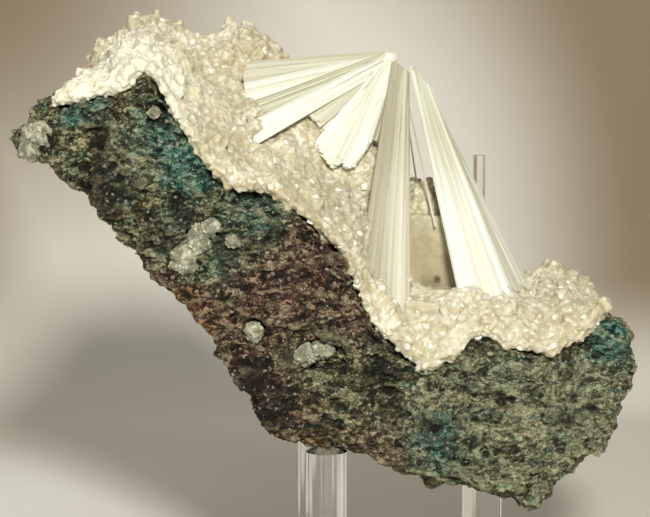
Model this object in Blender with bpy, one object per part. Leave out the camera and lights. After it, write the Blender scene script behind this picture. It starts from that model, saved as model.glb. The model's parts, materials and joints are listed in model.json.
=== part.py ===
# Thomsonite specimen: a spray of long zeolite blades standing in the crystal-lined
# hollow of a broken piece of basalt, which leans on a clear three-peg stand.
# Frame: metres, +Z up, X to the right and Y away from the viewer. The origin is the
# middle of the stand's underside. Sizes below are millimetres, turned to metres by MM.

import math
import random

import bmesh
import bpy
from mathutils import Matrix, Vector, noise
from mathutils.bvhtree import BVHTree

MM = 0.001
GAP = 0.3  # clearance between solids that touch

# Depth stations of the specimen, front to back
FRONT_Y = -34.0
RIDGE_Y = -24.0
FLOOR_Y = 0.0
BACK_Y = 24.0
REAR_Y = 34.0

# Broken face of the basalt, as (x, z) round its outline; the part above the crystal
# lining is cut away later
ROCK_OUTLINE = [
    (-85.2, 113.4), (-84.2, 109.8), (-76.5, 106.5), (-71, 102), (-66.5, 96.5), (-56.5, 85.5),
    (-46.5, 76.5), (-42.5, 73), (-38.3, 66), (-34, 56.3), (-32.5, 52), (-28.2, 48),
    (-19.8, 44.6), (-10.5, 42.6), (7.5, 36.7), (25.5, 31.6), (30.5, 30), (34, 30.8),
    (42, 36.8), (48.5, 42.6), (52, 47.2), (54.8, 54), (57, 66), (56.6, 74), (50.5, 75.6),
    (46, 84), (22, 92), (8, 106), (-10, 117), (-25, 138), (-56, 142), (-66, 133),
    (-74, 122), (-78, 119), (-82.5, 116),
]
ROCK_MIDDLE = (-10, 80)
# y and the outline's scale about its middle, front to back
ROCK_STATIONS = [(-36.5, 0.93), (-32.5, 0.98), (-10, 1.0), (10, 0.975), (24, 0.91), (34, 0.78)]
ROCK_SHRINK = 1.3
ROCK_VOXEL = 2.0
ROCK_FACES = 2700
# How much shallower the specimen is at its ends, at the front and at the back
END_TAPER = (0.12, 0.36)
HALF_LENGTH = 70

# Cracks and pits of the broken face: end points (x, z), half width and depth
CREVICES = [
    ((-4, 68), (8, 40), 2.4, 3.2),
    ((-32, 102.5), (-24, 101.5), 2.2, 3.4),
    ((-41, 89.5), (-35, 91.5), 2.0, 2.6),
    ((-20, 68), (-10, 65.5), 2.2, 2.6),
    ((-60, 92.5), (-50, 91), 2.2, 2.6),
    ((-71, 106), (-67, 107), 2.2, 2.8),
    ((11, 70.5), (18, 73), 2.2, 3.0),
]

# Crystal lining: its height over X at four depths, as (x, z)
RIM_LINE = [
    (-73, 122), (-62, 124), (-57, 126), (-54, 130), (-52, 129), (-49, 125.5), (-47, 121),
    (-44, 116.5), (-40, 108.5), (-34.5, 104.5), (-25, 102.5), (-19.5, 99), (-12, 92),
    (-8.5, 87.5), (-6, 79), (-3, 72.5), (2.5, 69.5), (4.5, 64), (9, 62.5), (14.5, 66.5),
    (17, 71.5), (21, 72), (26, 69.5), (33, 66.5), (37, 68), (46, 74), (47.5, 77),
]
RIDGE_LINE = [
    (-74, 123), (-63, 126.5), (-54.5, 131.5), (-50, 129), (-45, 121), (-40, 114),
    (-35, 111), (-25, 107), (-12, 98.5), (-8.5, 95), (-3, 86), (2.5, 79.5), (9, 77.5),
    (15, 79.5), (21.5, 80), (34, 77.5), (47, 78), (48.5, 78),
]
FLOOR_LINE = [
    (-76.5, 121), (-65, 128), (-56, 134), (-51.5, 132.5), (-46, 126.5), (-41.5, 122.5),
    (-30, 119), (-19.5, 110.5), (-8.5, 99), (3.5, 82.5), (6, 77), (10, 73.5), (19, 73.5),
    (28.5, 76), (40, 78), (47, 77), (51, 75),
]
BACK_LINE = [
    (-79, 119.5), (-73, 124), (-61, 134), (-57, 138), (-53, 138.5), (-50, 135),
    (-47, 133.5), (-42, 135), (-36, 136), (-30.5, 135.5), (-26, 131), (-20, 123),
    (-11.5, 113), (-2, 103.5), (4, 97.5), (11, 96.5), (14.5, 94), (18.5, 89),
    (24.5, 81.5), (30.5, 76.5), (42.5, 78.5), (52, 75), (53.5, 72.5),
]
LINING_LEFT = (-73, -72)  # left end at the front and at the back
LINING_RIGHT = (47.5, 48.5)
LINING_COLUMNS = 36
LINING_THICKNESS = 7.5
LINING_EDGE = 1.6
TOP_DEPTHS = [-33.6, -31.4, -28.5, -24, -18.5, -13, -7, -1, 5, 11, 17, 23, 29, 34.6]
BASE_DEPTHS = [33.6, 24, 10, -6, -22, -32.4]
LINING_OVERHANG = 0.9
CRYSTAL_SHARE = 0.43
EDGE_CRYSTAL_SHARE = 0.7
CRYSTAL_JITTER = (0.95, 1.3)

# Blades of the spray. Every blade starts at the tip of the spray and ends at the
# given point (x, y, z), with its width and thickness there and its ragged end's skew.
SPRAY_TIP = (1.6, 1.5, 128.8)
RIGHT_TIP = (7.0, 0.7, 126.6)
SPRAY_TIP_RADIUS = 2.1
FAN_BLADES = [
    ((-33.2, 12.5, 125.6), 5.6, 1.6, 0.2), ((-33.6, 9.0, 122.2), 4.8, 1.8, -0.3),
    ((-33.0, 5.0, 119.2), 5.0, 1.9, 0.4), ((-32.4, 0.0, 116.8), 4.6, 1.9, -0.2),
    ((-32.6, -11.0, 113.9), 5.4, 2.2, 0.4), ((-32.0, -15.5, 110.8), 4.6, 2.2, -0.4),
    ((-24.0, -3.0, 115.6), 5.8, 2.0, 0.3), ((-20.0, -1.0, 113.4), 5.6, 2.0, -0.3),
    ((-19.0, -6.0, 109.8), 5.0, 2.2, 0.5), ((-14.4, -8.0, 106.7), 5.0, 2.4, -0.4),
    ((-9.8, -9.0, 105.4), 5.0, 2.4, 0.4), ((-13.0, -3.0, 110.5), 6.4, 2.2, 0.2),
    ((-6.8, -6.5, 109.4), 4.4, 2.0, -0.3), ((-2.6, -4.5, 110.8), 3.4, 1.8, 0.3),
]
PILLAR_BLADES = [
    ((-3.2, -25.6, 83.0), 6.6, 3.4, 0.15), ((1.0, -26.6, 77.6), 5.6, 3.8, -0.15),
    ((8.2, 0.4, 125.2), 2.4, 2.0, 0.0),
]
RIGHT_BLADES = [
    ((18.6, -23.0, 76.4), 6.4, 3.4, 0.3), ((22.4, -22.4, 75.4), 6.4, 3.6, -0.3),
    ((25.6, -19.0, 75.4), 4.6, 2.8, 0.3), ((28.2, -9.0, 74.8), 4.0, 2.6, -0.2),
    ((29.8, 2.0, 74.4), 3.4, 2.6, 0.2),
    ((31.2, 12.0, 74.0), 3.2, 2.6, 0.2),
]
NEEDLES = [
    ((10.9, -13.0, 92.0), 1.2, 1.1, 0.0), ((8.6, 19.0, 92.6), 1.0, 1.0, 0.0),
]
BLADE_START_WIDTH = 2.6
BLADE_START_SHARE = 0.52
BLADE_START_THICKNESS = 1.7

# Small clear prism behind the spray: base point, height, side and turn
PRISM_BASE = (22.4, 18.0, 79.5)
PRISM_HEIGHT = 26.0
PRISM_SIDE = 2.1
PRISM_TURN = 0.35

# White mineral patches in the broken face: name and lobes (centre x, z and radii in
# x, y, z) around the local surface
INCLUSIONS = {
    "inclusion_curved": [((-44.6, 87.6), (3.4, 2.6, 3.6)), ((-41.6, 91.8), (2.6, 2.6, 3.6)),
                         ((-38.6, 95.0), (2.6, 2.4, 1.7))],
    "inclusion_bead": [((-33.6, 92.0), (1.6, 1.8, 1.8))],
    "inclusion_left_tip": [((-76.4, 114.4), (3.6, 3.2, 3.2)), ((-78.0, 111.4), (2.8, 3.0, 2.4))],
    "inclusion_lower": [((-18.4, 66.6), (2.8, 2.2, 2.6)), ((-14.6, 68.0), (3.0, 2.2, 2.0))],
    "inclusion_fleck": [((-29.2, 72.4), (1.8, 2.0, 2.2))],
    "inclusion_shoulder": [((-50.6, 119.4), (1.8, 2.0, 2.0))],
}

# Clear stand
BASE_SIZE = (104, 72, 8)
BASE_CORNER = 9
BASE_BEVEL = 0.8
PEG_DIAMETER = 9.5
PEG_DOME = 1.6
PEGS = {"peg_left_front": (-13.7, -12), "peg_left_back": (-15.8, 17), "peg_right": (22.8, 4)}


def clear_scene():
    for obj in list(bpy.data.objects):
        bpy.data.objects.remove(obj)


def material(name, colour, roughness, metallic=0.0):
    made = bpy.data.materials.new(name)
    made.use_nodes = True
    shader = made.node_tree.nodes["Principled BSDF"]
    shader.inputs["Base Color"].default_value = (*colour, 1)
    shader.inputs["Roughness"].default_value = roughness
    shader.inputs["Metallic"].default_value = metallic
    return made


def object_from(name, bm, finish=None):
    """A new object from a bmesh in millimetres."""
    bmesh.ops.recalc_face_normals(bm, faces=bm.faces)
    bmesh.ops.triangulate(bm, faces=bm.faces)
    bmesh.ops.scale(bm, vec=(MM, MM, MM), verts=bm.verts)
    mesh = bpy.data.meshes.new(name)
    bm.to_mesh(mesh)
    bm.free()
    obj = bpy.data.objects.new(name, mesh)
    bpy.context.scene.collection.objects.link(obj)
    if finish:
        mesh.materials.append(finish)
    return obj


def apply_modifiers(obj):
    """Replaces the object's mesh with the mesh that its modifiers make."""
    bpy.context.view_layer.update()
    graph = bpy.context.evaluated_depsgraph_get()
    made = bpy.data.meshes.new_from_object(obj.evaluated_get(graph))
    obj.modifiers.clear()
    obj.data = made


def boolean(obj, other, operation):
    """Joins or cuts obj with other, then removes other."""
    step = obj.modifiers.new(operation.lower(), "BOOLEAN")
    step.operation = operation
    step.object = other
    step.solver = "EXACT"
    apply_modifiers(obj)
    bpy.data.objects.remove(other)


def height_at(line, x):
    """Height of a line of (x, z) points at x, level beyond its ends."""
    if x <= line[0][0]:
        return line[0][1]
    for (x0, z0), (x1, z1) in zip(line, line[1:]):
        if x <= x1:
            return z0 + (z1 - z0) * (x - x0) / (x1 - x0)
    return line[-1][1]


def ease(share):
    return share * share * (3 - 2 * share)


def lining_height(x, y):
    """Height of the lining's crystal side at (x, y)."""
    rim, ridge = height_at(RIM_LINE, x), height_at(RIDGE_LINE, x)
    floor, back = height_at(FLOOR_LINE, x), height_at(BACK_LINE, x)
    if y < RIDGE_Y:
        share = max(0.0, (y - FRONT_Y) / (RIDGE_Y - FRONT_Y))
        return rim + LINING_EDGE + (ridge - rim - LINING_EDGE) * math.sin(share * math.pi / 2)
    if y < FLOOR_Y:
        return ridge + (floor - ridge) * ease((y - RIDGE_Y) / (FLOOR_Y - RIDGE_Y))
    if y < BACK_Y:
        return floor + (back - floor) * ease((y - FLOOR_Y) / (BACK_Y - FLOOR_Y))
    drop = (y - BACK_Y) / (REAR_Y - BACK_Y)
    return back - 9.0 * drop * drop


def lining_base(x, y):
    """Height of the surface that the lining grew on at (x, y)."""
    rim = height_at(RIM_LINE, x)
    if y < RIDGE_Y:
        share = max(0.0, (y - FRONT_Y) / (RIDGE_Y - FRONT_Y))
        deep = max(rim, height_at(RIDGE_LINE, x) - LINING_THICKNESS)
        return rim - 0.8 + (deep - rim + 0.8) * share
    y = min(y, REAR_Y)
    inner = max(0.0, (y - BACK_Y) / (REAR_Y - BACK_Y))
    thickness = LINING_THICKNESS * (1 - 0.55 * inner)
    if y < FLOOR_Y:
        near = max(rim, height_at(RIDGE_LINE, x) - LINING_THICKNESS)
        far = lining_height(x, FLOOR_Y) - LINING_THICKNESS
        return near + (far - near) * ease((y - RIDGE_Y) / (FLOOR_Y - RIDGE_Y))
    return lining_height(x, y) - thickness


def tapered(x, y):
    """Depth y drawn in towards the specimen's two ends."""
    share = min(1.0, abs(x - ROCK_MIDDLE[0]) / HALF_LENGTH)
    return y * (1 - END_TAPER[0 if y < 0 else 1] * share ** 2.4)


def lining_x(share, y):
    """X of a column of the lining at depth y."""
    depth = (y - FRONT_Y) / (BACK_Y - FRONT_Y)
    left = LINING_LEFT[0] + (LINING_LEFT[1] - LINING_LEFT[0]) * depth
    right = LINING_RIGHT[0] + (LINING_RIGHT[1] - LINING_RIGHT[0]) * depth
    return left + (right - left) * share


def lofted(sections):
    """A closed bmesh through rings of points, with the two end rings capped. It also
    returns the side faces, one list for each column."""
    bm = bmesh.new()
    rings = [[bm.verts.new(p) for p in ring] for ring in sections]
    columns = []
    for one, two in zip(rings, rings[1:]):
        count = len(one)
        columns.append(
            [bm.faces.new((one[i], one[(i + 1) % count], two[(i + 1) % count], two[i]))
             for i in range(count)]
        )
    bm.faces.new(rings[0])
    bm.faces.new(list(reversed(rings[-1])))
    return bm, columns


def split_base(columns, first):
    """Cuts the faces under the lining in two along one set diagonal, so that the
    rock's cut and the lining's underside have the same triangles."""
    for faces in columns:
        for face in faces[first:]:
            corners = list(face.verts)
            bmesh.utils.face_split(face, corners[0], corners[2])


def lining_cutter():
    """The space over the lining's bed: what it cuts leaves the rock clear of the lining."""
    depths = [48.0, *BASE_DEPTHS, -48.0]
    ends = [(0, -GAP), *((column, 0) for column in range(LINING_COLUMNS + 1)), (LINING_COLUMNS, GAP)]
    sections = []
    for column, aside in ends:
        share = column / LINING_COLUMNS
        ring = [(lining_x(share, y) + aside, y, 190) for y in (-48, 48)]
        for y in depths:
            x = lining_x(share, y)
            ring.append((x + aside, tapered(x, y), lining_base(x, y) - GAP))
        sections.append(ring)
    bm, columns = lofted(sections)
    split_base(columns, 2)
    return object_from("lining_space", bm)


def build_lining(finish):
    """The crust of small crystals: a thick skin with flat-faced crystals over it."""
    picker = random.Random(5)
    sections = []
    for column in range(LINING_COLUMNS + 1):
        share = column / LINING_COLUMNS
        ring = []
        for y in TOP_DEPTHS:
            x = lining_x(share, y)
            if 0 < column < LINING_COLUMNS and abs(y) < 30:
                x += picker.uniform(-1, 1) * CRYSTAL_JITTER[0]
                y += picker.uniform(-1, 1) * CRYSTAL_JITTER[1] * (1 if y > -28 else 0.5)
            lump = 1.3 * noise.noise(Vector((x, y, 3.0)) * 0.11)
            lump += 0.8 * noise.noise(Vector((x, y, 9.0)) * 0.27)
            lump *= min(1.0, abs(y - FRONT_Y) / 10, abs(y - REAR_Y) / 8)
            if y < -30:
                lump += picker.uniform(-0.2, 1.2)
            ring.append((x, tapered(x, y) - LINING_OVERHANG, lining_height(x, y) + lump))
        for y in BASE_DEPTHS:
            x = lining_x(share, y)
            ring.append((x, tapered(x, y), lining_base(x, y)))
        sections.append(ring)
    bm, columns = lofted(sections)
    top_rows = len(TOP_DEPTHS) - 1
    crystals = [(face, None) for faces in columns[1:-1] for face in faces[:top_rows]
                if picker.random() < CRYSTAL_SHARE]
    crystals += [(faces[-1], Vector((0, -1, 0.05))) for faces in columns[1:-1]
                 if picker.random() < EDGE_CRYSTAL_SHARE]
    split_base([faces[:-1] for faces in columns], len(TOP_DEPTHS))
    bmesh.ops.recalc_face_normals(bm, faces=bm.faces)
    owner = {}
    for number, (face, direction) in enumerate(crystals):
        for vert, rest in grow_crystal(bm, face, direction, picker):
            owner[vert] = (number, rest)
    bmesh.ops.triangulate(bm, faces=bm.faces)
    part_crystals(bm, owner)
    return object_from("crystal_lining", bm, finish)


def part_crystals(bm, owner):
    """Lowers crystals that run into each other until all of them stand clear."""
    for _ in range(12):
        bm.faces.ensure_lookup_table()
        bm.faces.index_update()
        tree = BVHTree.FromBMesh(bm)
        crossing = {index for pair in tree.overlap(tree) if pair[0] != pair[1] for index in pair}
        low = {owner[v][0] for i in crossing for v in bm.faces[i].verts if v in owner}
        for vert, (number, rest) in owner.items():
            if number in low:
                vert.co = rest + (vert.co - rest) * 0.55


def grow_crystal(bm, face, direction, picker):
    """Raises one face of the crust, along direction or its own normal, into a blunt
    crystal with a tilted flat end. It returns the raised corners with the places that
    they rose from."""
    size = math.sqrt(face.calc_area())
    normal = direction or face.normal.copy()
    bmesh.ops.inset_individual(bm, faces=[face], thickness=size * picker.uniform(0.08, 0.24))
    rise = min(size * picker.uniform(0.2, 0.65), 2.8)
    tilt = Vector([picker.uniform(-0.16, 0.16) for _ in range(3)])
    centre = face.calc_center_median()
    rests = [(vert, vert.co.copy()) for vert in face.verts]
    for vert, rest in rests:
        vert.co += normal * (rise + (rest - centre).dot(tilt) * 1.6)
    return rests


def face_relief(x, z):
    """How far the broken face is pushed in at (x, z), in its larger forms."""
    push = 0.0
    for (x0, z0), (x1, z1), width, depth in CREVICES:
        start, along = Vector((x0, z0)), Vector((x1 - x0, z1 - z0))
        share = (Vector((x, z)) - start).dot(along) / along.length_squared
        nearest = start + along * min(1, max(0, share))
        distance = (Vector((x, z)) - nearest).length
        push += depth * math.exp(-((distance / width) ** 2))
    slope = ease(min(1, max(0, (x + 8) / 30)))
    push += slope * 0.09 * (z - 45)
    return push


def build_rock(finish):
    """The basalt: an outline lofted front to back, broken up by noise, with the
    hollow of the lining cut out of it."""
    sections = []
    for y, scale in ROCK_STATIONS:
        mx, mz = ROCK_MIDDLE
        sections.append([(mx + (x - mx) * scale, y, mz + (z - mz) * scale) for x, z in ROCK_OUTLINE])
    sections = [[(x, tapered(x, y), z) for x, y, z in section] for section in sections]
    bm, _ = lofted(sections)
    rock = object_from("basalt_matrix", bm, finish)
    step = rock.modifiers.new("even", "REMESH")
    step.mode = "VOXEL"
    step.voxel_size = ROCK_VOXEL * MM
    apply_modifiers(rock)
    roughen(rock)
    step = rock.modifiers.new("facets", "DECIMATE")
    step.ratio = ROCK_FACES / sum(len(p.vertices) - 2 for p in rock.data.polygons)
    step.use_collapse_triangulate = True
    apply_modifiers(rock)
    boolean(rock, lining_cutter(), "DIFFERENCE")
    return rock


def roughen(rock):
    """Moves the rock's points by noise and by the forms of its broken face."""
    mesh = rock.data
    moved = []
    for vert in mesh.vertices:
        place, normal = vert.co / MM, vert.normal
        broad = noise.fractal(place * 0.035, 1.0, 2.0, 3)
        steps = abs(noise.noise(place * Vector((0.05, 0.05, 0.085)) + Vector((7, 3, 1)))) * 2 - 0.5
        grain = noise.noise(place * 0.21)
        out = 1.9 * broad + 2.3 * steps + 1.3 * grain - ROCK_SHRINK
        facing = max(0.0, -normal.y)
        inward = Vector((0, 1, 0)) * face_relief(place.x, place.z) * facing
        moved.append(place + normal * out + inward)
    for vert, place in zip(mesh.vertices, moved):
        vert.co = place * MM


def blade(start, end, width, thickness, skew, grow=0.0):
    """One flat blade from start to end, as a closed bmesh. grow makes it larger all
    round, for the socket that it stands in."""
    start, end = Vector(start), Vector(end)
    along = (end - start).normalized()
    side = along.cross(Vector((0.25, -1, 0.15))).normalized()
    turned = Matrix.Rotation(skew, 3, along)
    side = turned @ side
    up = side.cross(along)
    rings = []
    start_width = max(BLADE_START_WIDTH, width * BLADE_START_SHARE)
    for share, wide, thick in ((0, start_width, BLADE_START_THICKNESS), (1, width, thickness)):
        half, deep = wide / 2 + grow, thick / 2 + grow
        middle = start + (end - start) * share
        ring = []
        for across, over in ((-1, 0.1), (-0.6, 1), (0.5, 1), (1, 0.2), (0.6, -1), (-0.5, -1)):
            slant = along * across * half * skew * 0.9 if share == 1 else Vector()
            ring.append(middle + side * across * half + up * over * deep + slant)
        rings.append(ring)
    bm, _ = lofted(rings)
    return bm


def knob(name):
    """The blunt head where all the blades meet."""
    bm = bmesh.new()
    bmesh.ops.create_icosphere(bm, subdivisions=1, radius=SPRAY_TIP_RADIUS)
    for vert in bm.verts:
        vert.co *= 1 + 0.16 * noise.noise(vert.co * 0.7)
        vert.co.x *= 1.7
    bmesh.ops.rotate(bm, verts=bm.verts, matrix=Matrix.Rotation(-0.18, 3, "Y"))
    bmesh.ops.translate(bm, verts=bm.verts, vec=Vector(SPRAY_TIP) + Vector((0.4, 0, 0.2)))
    return object_from(name, bm)


def build_spray(finish, lining):
    """All blades and the head joined in one solid, and their sockets cut in the lining."""
    spray = knob("thomsonite_spray")
    spray.data.materials.append(finish)
    shapes = [(SPRAY_TIP, *shape) for shape in FAN_BLADES + PILLAR_BLADES + NEEDLES]
    shapes += [(RIGHT_TIP, *shape) for shape in RIGHT_BLADES]
    for number, shape in enumerate(shapes):
        start, end = shape[:2]
        boolean(spray, object_from(f"blade_{number}", blade(*shape)), "UNION")
        socket = object_from(f"socket_{number}", blade(*shape, GAP))
        longer = (Vector(end) - Vector(start)).normalized() * GAP * MM * 2
        for vert in socket.data.vertices:
            vert.co += longer
        if touches(socket, lining):
            boolean(lining, socket, "DIFFERENCE")
        else:
            bpy.data.objects.remove(socket)
    return spray


def drop_crumbs(obj):
    """Removes the small bits that a cut has parted from the object's main body."""
    bm = bmesh.new()
    bm.from_mesh(obj.data)
    waiting, islands = set(bm.verts), []
    while waiting:
        island, front = set(), [waiting.pop()]
        while front:
            vert = front.pop()
            island.add(vert)
            for edge in vert.link_edges:
                near = edge.other_vert(vert)
                if near in waiting:
                    waiting.remove(near)
                    front.append(near)
        islands.append(island)
    islands.sort(key=len)
    for island in islands[:-1]:
        bmesh.ops.delete(bm, geom=list(island), context="VERTS")
    bm.to_mesh(obj.data)
    bm.free()


def tree_of(obj):
    bpy.context.view_layer.update()
    mesh = obj.data
    return BVHTree.FromPolygons([v.co for v in mesh.vertices], [tuple(p.vertices) for p in mesh.polygons])


def touches(one, other):
    return bool(tree_of(one).overlap(tree_of(other)))


def prism(name, grow=0.0, finish=None):
    """The small square prism, grown all round by grow."""
    bm = bmesh.new()
    bmesh.ops.create_cube(bm, size=1)
    side = PRISM_SIDE + 2 * grow
    bmesh.ops.scale(bm, vec=(side, side, PRISM_HEIGHT + 2 * grow), verts=bm.verts)
    bmesh.ops.rotate(bm, verts=bm.verts, matrix=Matrix.Rotation(PRISM_TURN, 3, "Z"))
    middle = Vector(PRISM_BASE) + Vector((0, 0, PRISM_HEIGHT / 2))
    bmesh.ops.translate(bm, verts=bm.verts, vec=middle)
    return object_from(name, bm, finish)


def lobe(centre, radii, grow):
    """A lumpy ball of the given radii, grown all round by grow."""
    bm = bmesh.new()
    bmesh.ops.create_icosphere(bm, subdivisions=1, radius=1)
    for vert in bm.verts:
        away = vert.co.normalized()
        swell = 1 + 0.14 * noise.noise(away * 1.6 + centre * 0.13)
        vert.co = Vector([away[i] * (radii[i] * swell + grow) for i in range(3)])
    bmesh.ops.translate(bm, verts=bm.verts, vec=centre)
    return object_from("lobe", bm)


def build_inclusion(name, lobes, rock, finish):
    """A mineral patch set in a pocket of the broken face."""
    face = tree_of(rock)
    hits = [face.ray_cast(Vector((x, -80, z)) * MM, Vector((0, 1, 0)))[0] for (x, z), _ in lobes]
    found = [hit.y / MM for hit in hits if hit]
    level = sum(found) / len(found)
    patch, pocket = None, None
    for (x, z), radii in lobes:
        centre = Vector((x, level + radii[1] * 0.4, z))
        piece, room = lobe(centre, radii, 0), lobe(centre, radii, GAP)
        if patch is None:
            patch, pocket = piece, room
        else:
            boolean(patch, piece, "UNION")
            boolean(pocket, room, "UNION")
    patch.name = name
    patch.data.materials.clear()
    patch.data.materials.append(finish)
    boolean(rock, pocket, "DIFFERENCE")
    return patch


def peg_height(tree, x, y):
    """The tallest domed peg at (x, y) that stays clear of the rock over it."""
    best = None
    radius = PEG_DIAMETER / 2
    for ring in (0.0, 0.35, 0.7, 1.0):
        for turn in range(16):
            angle = turn * math.tau / 16
            px = x + math.cos(angle) * radius * ring
            py = y + math.sin(angle) * radius * ring
            hit = tree.ray_cast(Vector((px, py, 5)) * MM, Vector((0, 0, 1)))[0]
            if hit is None:
                continue
            clear = hit.z / MM - GAP + PEG_DOME * ring * ring
            best = clear if best is None else min(best, clear)
    return best


def build_pegs(rock, finish):
    """Three clear rods, each as tall as the rock's underside allows."""
    tree = tree_of(rock)
    radius = PEG_DIAMETER / 2
    foot = BASE_SIZE[2] + GAP
    for name, (x, y) in PEGS.items():
        top = peg_height(tree, x, y)
        outline = [(0.0, foot), (radius, foot)]
        for step in range(4):
            share = 1 - step / 3
            outline.append((radius * share, top - PEG_DOME * share * share))
        bm = bmesh.new()
        line = [bm.verts.new((r, 0, z)) for r, z in outline]
        edges = [bm.edges.new(pair) for pair in zip(line, line[1:])]
        bmesh.ops.spin(bm, geom=line + edges, cent=(0, 0, 0), axis=(0, 0, 1),
                       angle=math.tau, steps=24, use_merge=True)
        bmesh.ops.remove_doubles(bm, verts=bm.verts, dist=0.001)
        bmesh.ops.translate(bm, verts=bm.verts, vec=(x, y, 0))
        peg = object_from(name, bm, finish)
        peg.data.shade_smooth()
        peg.data.set_sharp_from_angle(angle=math.radians(40))


def build_base(finish):
    """The stand's plate, with round corners and a small bevel."""
    wide, deep, tall = BASE_SIZE
    bm = bmesh.new()
    bmesh.ops.create_cube(bm, size=1)
    bmesh.ops.scale(bm, vec=(wide, deep, tall), verts=bm.verts)
    bmesh.ops.translate(bm, verts=bm.verts, vec=(0, 0, tall / 2))
    upright = [e for e in bm.edges if abs(e.verts[0].co.z - e.verts[1].co.z) > tall / 2]
    bmesh.ops.bevel(bm, geom=upright, offset=BASE_CORNER, segments=7, profile=0.5, affect="EDGES")
    rims = [e for e in bm.edges if abs(e.verts[0].co.z - e.verts[1].co.z) < 0.01
            and len({round(f.normal.z) for f in e.link_faces}) == 2]
    bmesh.ops.bevel(bm, geom=rims, offset=BASE_BEVEL, segments=1, affect="EDGES")
    return object_from("stand_base", bm, finish)


def main():
    clear_scene()
    basalt = material("basalt", (0.16, 0.17, 0.13), 0.85)
    druse = material("druse", (0.80, 0.76, 0.60), 0.35)
    silky_white = material("silky_white", (0.93, 0.92, 0.84), 0.30)
    white_zeolite = material("white_zeolite", (0.70, 0.69, 0.58), 0.45)
    clear_acrylic = material("clear_acrylic", (0.92, 0.94, 0.95), 0.05)

    lining = build_lining(druse)
    rock = build_rock(basalt)
    build_spray(silky_white, lining)
    prism("clear_prism", finish=silky_white)
    boolean(lining, prism("prism_socket", GAP), "DIFFERENCE")
    drop_crumbs(lining)
    for name, lobes in INCLUSIONS.items():
        build_inclusion(name, lobes, rock, white_zeolite)
    build_pegs(rock, clear_acrylic)
    build_base(clear_acrylic)


main()
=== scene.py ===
# Thomsonite specimen on its clear stand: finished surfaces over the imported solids.
# Everything is in metres. X runs to the right, Y away from the viewer, Z up.
import json
import math
import random

import bpy
import numpy as np
from mathutils import Matrix, Vector

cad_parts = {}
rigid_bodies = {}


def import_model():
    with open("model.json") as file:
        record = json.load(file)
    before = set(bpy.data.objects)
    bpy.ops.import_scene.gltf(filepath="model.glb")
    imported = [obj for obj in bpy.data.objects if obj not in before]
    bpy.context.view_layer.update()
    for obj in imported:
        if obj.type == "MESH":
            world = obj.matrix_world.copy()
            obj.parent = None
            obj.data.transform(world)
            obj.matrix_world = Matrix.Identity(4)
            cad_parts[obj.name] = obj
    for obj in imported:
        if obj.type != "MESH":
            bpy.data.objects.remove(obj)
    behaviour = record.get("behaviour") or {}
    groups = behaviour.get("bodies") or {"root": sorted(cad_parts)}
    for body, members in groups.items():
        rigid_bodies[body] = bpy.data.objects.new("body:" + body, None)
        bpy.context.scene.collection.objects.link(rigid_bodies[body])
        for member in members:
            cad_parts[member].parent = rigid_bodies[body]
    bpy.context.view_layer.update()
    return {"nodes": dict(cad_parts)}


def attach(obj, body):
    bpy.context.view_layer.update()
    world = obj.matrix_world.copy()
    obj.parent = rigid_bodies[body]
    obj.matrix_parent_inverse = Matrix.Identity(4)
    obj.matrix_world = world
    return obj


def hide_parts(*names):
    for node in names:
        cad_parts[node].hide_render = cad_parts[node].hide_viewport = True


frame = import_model()
nodes = frame["nodes"]
mm = 0.001


def deselectAll():
    for item in list(bpy.context.selected_objects):
        item.select_set(False)


def pickOnly(piece):
    deselectAll()
    piece.select_set(True)
    bpy.context.view_layer.objects.active = piece


def applyStep(piece, kind, **values):
    # adds one modifier and applies it at once
    pickOnly(piece)
    step = piece.modifiers.new("step", kind)
    for name, value in values.items():
        setattr(step, name, value)
    bpy.ops.object.modifier_apply(modifier=step.name)


def looseCopy(nodeName, pieceName):
    # a merged copy of a CAD node that can be reshaped
    piece = bpy.data.objects.new(pieceName, nodes[nodeName].data.copy())
    bpy.context.scene.collection.objects.link(piece)
    piece.data.name = pieceName
    piece.data.materials.clear()
    pickOnly(piece)
    bpy.ops.object.mode_set(mode="EDIT")
    bpy.ops.mesh.select_all(action="SELECT")
    bpy.ops.mesh.remove_doubles(threshold=0.00001)
    bpy.ops.object.mode_set(mode="OBJECT")
    bpy.ops.object.shade_smooth()
    return piece


def reliefTexture(name, kind, size, **values):
    made = bpy.data.textures.new(name, kind)
    made.noise_scale = size
    for field, value in values.items():
        setattr(made, field, value)
    return made


def raiseRelief(piece, texture, strength, middle=0.5):
    applyStep(piece, "DISPLACE", texture=texture, texture_coords="LOCAL",
              strength=strength, mid_level=middle)


def storeDepth(piece, rounds):
    # keeps how far each point stands out from, or lies below, the smoothed shape
    smooth = bpy.data.objects.new("smoothShape", piece.data.copy())
    bpy.context.scene.collection.objects.link(smooth)
    applyStep(smooth, "SMOOTH", factor=0.5, iterations=rounds)
    count = len(piece.data.vertices)
    rough, even, normals = np.empty(count * 3), np.empty(count * 3), np.empty(count * 3)
    piece.data.vertices.foreach_get("co", rough)
    smooth.data.vertices.foreach_get("co", even)
    smooth.data.vertices.foreach_get("normal", normals)
    depth = ((rough - even) * normals).reshape(-1, 3).sum(axis=1) / mm
    kept = piece.data.attributes.new("depth", "FLOAT", "POINT")
    kept.data.foreach_set("value", depth)
    bpy.data.objects.remove(smooth)


def joinAll(parts, name):
    deselectAll()
    for part in parts:
        part.select_set(True)
    bpy.context.view_layer.objects.active = parts[0]
    bpy.ops.object.join()
    parts[0].name = name
    parts[0].data.name = name
    return parts[0]


def setPiece(piece, slot, *replaced):
    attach(piece, "root")
    if replaced:
        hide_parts(*replaced)


# Materials

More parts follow.
